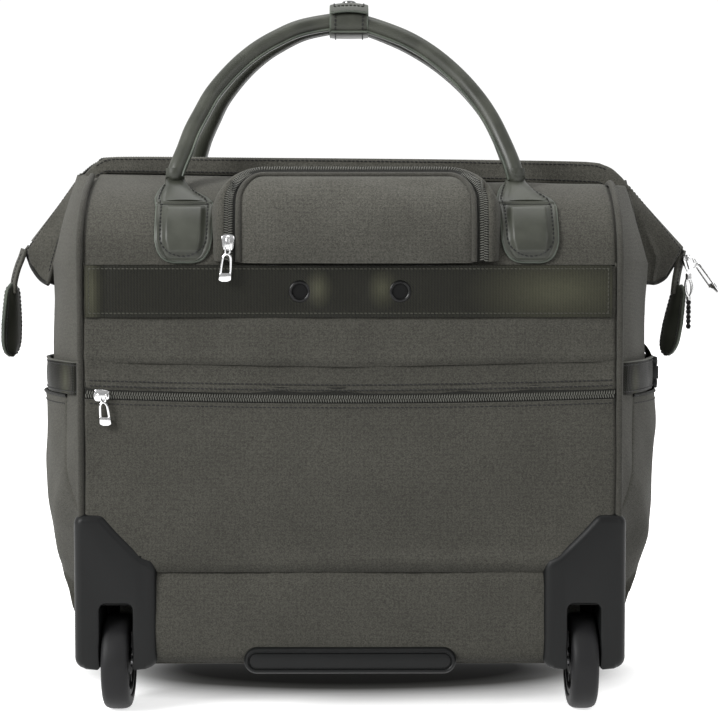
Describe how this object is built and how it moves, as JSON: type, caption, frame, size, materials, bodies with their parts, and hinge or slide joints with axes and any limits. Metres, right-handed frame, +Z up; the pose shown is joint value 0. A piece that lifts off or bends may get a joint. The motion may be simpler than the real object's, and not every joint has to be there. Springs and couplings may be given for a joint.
{
  "type": "rolling laptop case",
  "caption": "Soft-sided wheeled laptop case with a wired wide mouth, two carry handles, a zipped trolley-handle pocket and corner wheels.",
  "frame": {"origin": "on the ground under the middle of the case", "axes": "+Z up, +X to the right seen from behind, +Y towards the front of the case"},
  "size_m": [0.544, 0.2174, 0.528],
  "materials": {
    "case_cloth": "matte",
    "trim_leather": "satin",
    "webbing": "satin",
    "piping": "satin",
    "zip_coil": "satin",
    "zip_metal": "polished",
    "black_plastic": "matte",
    "wheel_rubber": "matte",
    "hub_plastic": "satin",
    "steel": "brushed",
    "trolley_aluminium": "anodised",
    "eyelet_metal": "gloss",
    "snap_metal": "polished",
    "lining_cloth": "satin",
    "board": "matte"
  },
  "bodies": {
    "root": {"back_panel": "case_cloth", "front_panel": "case_cloth", "left_gusset": "case_cloth", "right_gusset": "case_cloth", "bottom_panel": "case_cloth", "base_board": "board", "lining_board": "lining_cloth", "laptop_sleeve": "lining_cloth", "back_roof": "case_cloth", "front_roof": "case_cloth", "wings": "case_cloth", "body_piping": "piping", "stay_hinge_pins": "steel", "main_zip_tape": "zip_coil", "back_webbing": "webbing", "webbing_eyelets": "eyelet_metal", "pocket_panel": "case_cloth", "pocket_welt": "case_cloth", "pocket_zip_tape": "zip_coil", "trolley_pocket_walls": "lining_cloth", "flap_zip_tape": "zip_coil", "trolley_foot": "black_plastic", "trolley_outer_tubes": "trolley_aluminium", "trolley_top_bracket": "black_plastic", "left_wheel_housing": "black_plastic", "right_wheel_housing": "black_plastic", "wheel_axles": "steel", "skid_bar": "black_plastic", "front_feet": "black_plastic", "handle_patches": "trim_leather", "side_pockets": "case_cloth", "side_straps": "webbing", "side_buckle": "black_plastic", "front_pocket": "case_cloth"},
    "left_wheel": {"left_hub": "hub_plastic", "left_tyre": "wheel_rubber"},
    "right_wheel": {"right_hub": "hub_plastic", "right_tyre": "wheel_rubber"},
    "trolley_mid": {"trolley_mid_tubes": "trolley_aluminium"},
    "trolley_top": {"trolley_inner_tubes": "trolley_aluminium", "trolley_grip": "black_plastic"},
    "button": {"trolley_button": "hub_plastic"},
    "flap": {"trolley_flap": "case_cloth"},
    "mouth_back": {"header_back": "case_cloth", "frame_stay_back": "steel"},
    "mouth_front": {"header_front": "case_cloth", "frame_stay_front": "steel"},
    "handle_back": {"back_handle": "trim_leather", "handle_wrap": "trim_leather"},
    "handle_front": {"front_handle": "trim_leather"},
    "pocket_slider": {"pocket_zip_slider": "zip_metal"},
    "pocket_pull": {"pocket_zip_pull": "zip_metal"},
    "flap_slider": {"flap_zip_slider": "zip_metal"},
    "flap_pull": {"flap_zip_pull": "zip_metal"},
    "main_slider": {"main_zip_slider": "zip_metal"},
    "main_pull": {"main_zip_pull": "zip_metal"},
    "hook": {"zip_hook": "zip_metal"},
    "tab_left": {"left_tab": "trim_leather"},
    "tab_right": {"right_tab": "trim_leather"},
    "snap_tab": {"wrap_tab": "trim_leather"}
  },
  "joints": [
    {"name": "left_wheel_spin", "type": "hinge", "parent": "root", "child": "left_wheel", "pos_m": [-0.1705, -0.073, 0.035], "axis": [1, 0, 0], "continuous": true},
    {"name": "right_wheel_spin", "type": "hinge", "parent": "root", "child": "right_wheel", "pos_m": [0.1705, -0.073, 0.035], "axis": [1, 0, 0], "continuous": true},
    {"name": "trolley_stage_1", "type": "slide", "parent": "root", "child": "trolley_mid", "axis": [0, 0, 1], "range_m": [0, 0.24], "deforming": ["trolley_flap", "flap_zip_tape"]},
    {"name": "trolley_stage_2", "type": "slide", "parent": "trolley_mid", "child": "trolley_top", "axis": [0, 0, 1], "range_m": [0, 0.24]},
    {"name": "trolley_button_press", "type": "slide", "parent": "trolley_top", "child": "button", "axis": [0, 0, -1], "range_m": [0, 0.0025], "stiffness_N_per_m": 600},
    {"name": "trolley_flap_open", "type": "hinge", "parent": "root", "child": "flap", "pos_m": [0, -0.0976, 0.329], "axis": [1, 0, 0], "range_deg": [0, 140]},
    {"name": "mouth_back_swing", "type": "hinge", "parent": "root", "child": "mouth_back", "pos_m": [0, 0, 0.342], "axis": [1, 0, 0], "range_deg": [0, 10], "deforming": ["back_roof", "wings", "main_zip_tape", "handle_patches"]},
    {"name": "mouth_front_swing", "type": "hinge", "parent": "root", "child": "mouth_front", "pos_m": [0, 0, 0.342], "axis": [-1, 0, 0], "range_deg": [0, 30], "deforming": ["front_roof"]},
    {"name": "pocket_slider_travel", "type": "slide", "parent": "root", "child": "pocket_slider", "axis": [1, 0, 0], "range_m": [0, 0.355]},
    {"name": "pocket_pull_swing", "type": "hinge", "parent": "pocket_slider", "child": "pocket_pull", "pos_m": [-0.178, -0.102, 0.2296], "axis": [-1, 0, 0], "range_deg": [0, 120]},
    {"name": "flap_slider_travel", "type": "slide", "parent": "root", "child": "flap_slider", "axis": [0, 0, 1], "range_m": [0, 0.018]},
    {"name": "flap_pull_swing", "type": "hinge", "parent": "flap_slider", "child": "flap_pull", "pos_m": [-0.0815, -0.1067, 0.3416], "axis": [-1, 0, 0], "range_deg": [0, 120]},
    {"name": "main_slider_travel", "type": "slide", "parent": "root", "child": "main_slider", "axis": [0, 0, 1], "range_m": [0, 0.012]},
    {"name": "main_pull_swing", "type": "hinge", "parent": "main_slider", "child": "main_pull", "pos_m": [0.2648, 0, 0.3236], "axis": [0, -1, 0], "range_deg": [0, 90]},
    {"name": "zip_hook_swing", "type": "hinge", "parent": "root", "child": "hook", "pos_m": [0.259, -0.0079, 0.318], "axis": [-1, 0, 0], "range_deg": [0, 70]},
    {"name": "left_tab_swing", "type": "hinge", "parent": "root", "child": "tab_left", "pos_m": [-0.2585, 0, 0.313], "axis": [0, 1, 0], "range_deg": [-12, 60]},
    {"name": "right_tab_swing", "type": "hinge", "parent": "root", "child": "tab_right", "pos_m": [0.2585, 0, 0.313], "axis": [1, 0, 0], "range_deg": [0, 60]},
    {"name": "back_handle_swing", "type": "hinge", "parent": "mouth_back", "child": "handle_back", "pos_m": [0, -0.056, 0.392], "axis": [1, 0, 0], "range_deg": [0, 90], "deforming": ["handle_wrap"]},
    {"name": "front_handle_swing", "type": "hinge", "parent": "mouth_front", "child": "handle_front", "pos_m": [0, 0.056, 0.392], "axis": [-1, 0, 0], "range_deg": [0, 90]},
    {"name": "wrap_tab_open", "type": "hinge", "parent": "handle_back", "child": "snap_tab", "pos_m": [0, -0.017, 0.5233], "axis": [1, 0, 0], "range_deg": [0, 130]}
  ],
  "couplings": [
    {"joint": "trolley_stage_2", "follows": "trolley_stage_1", "ratio": 1}
  ]
}
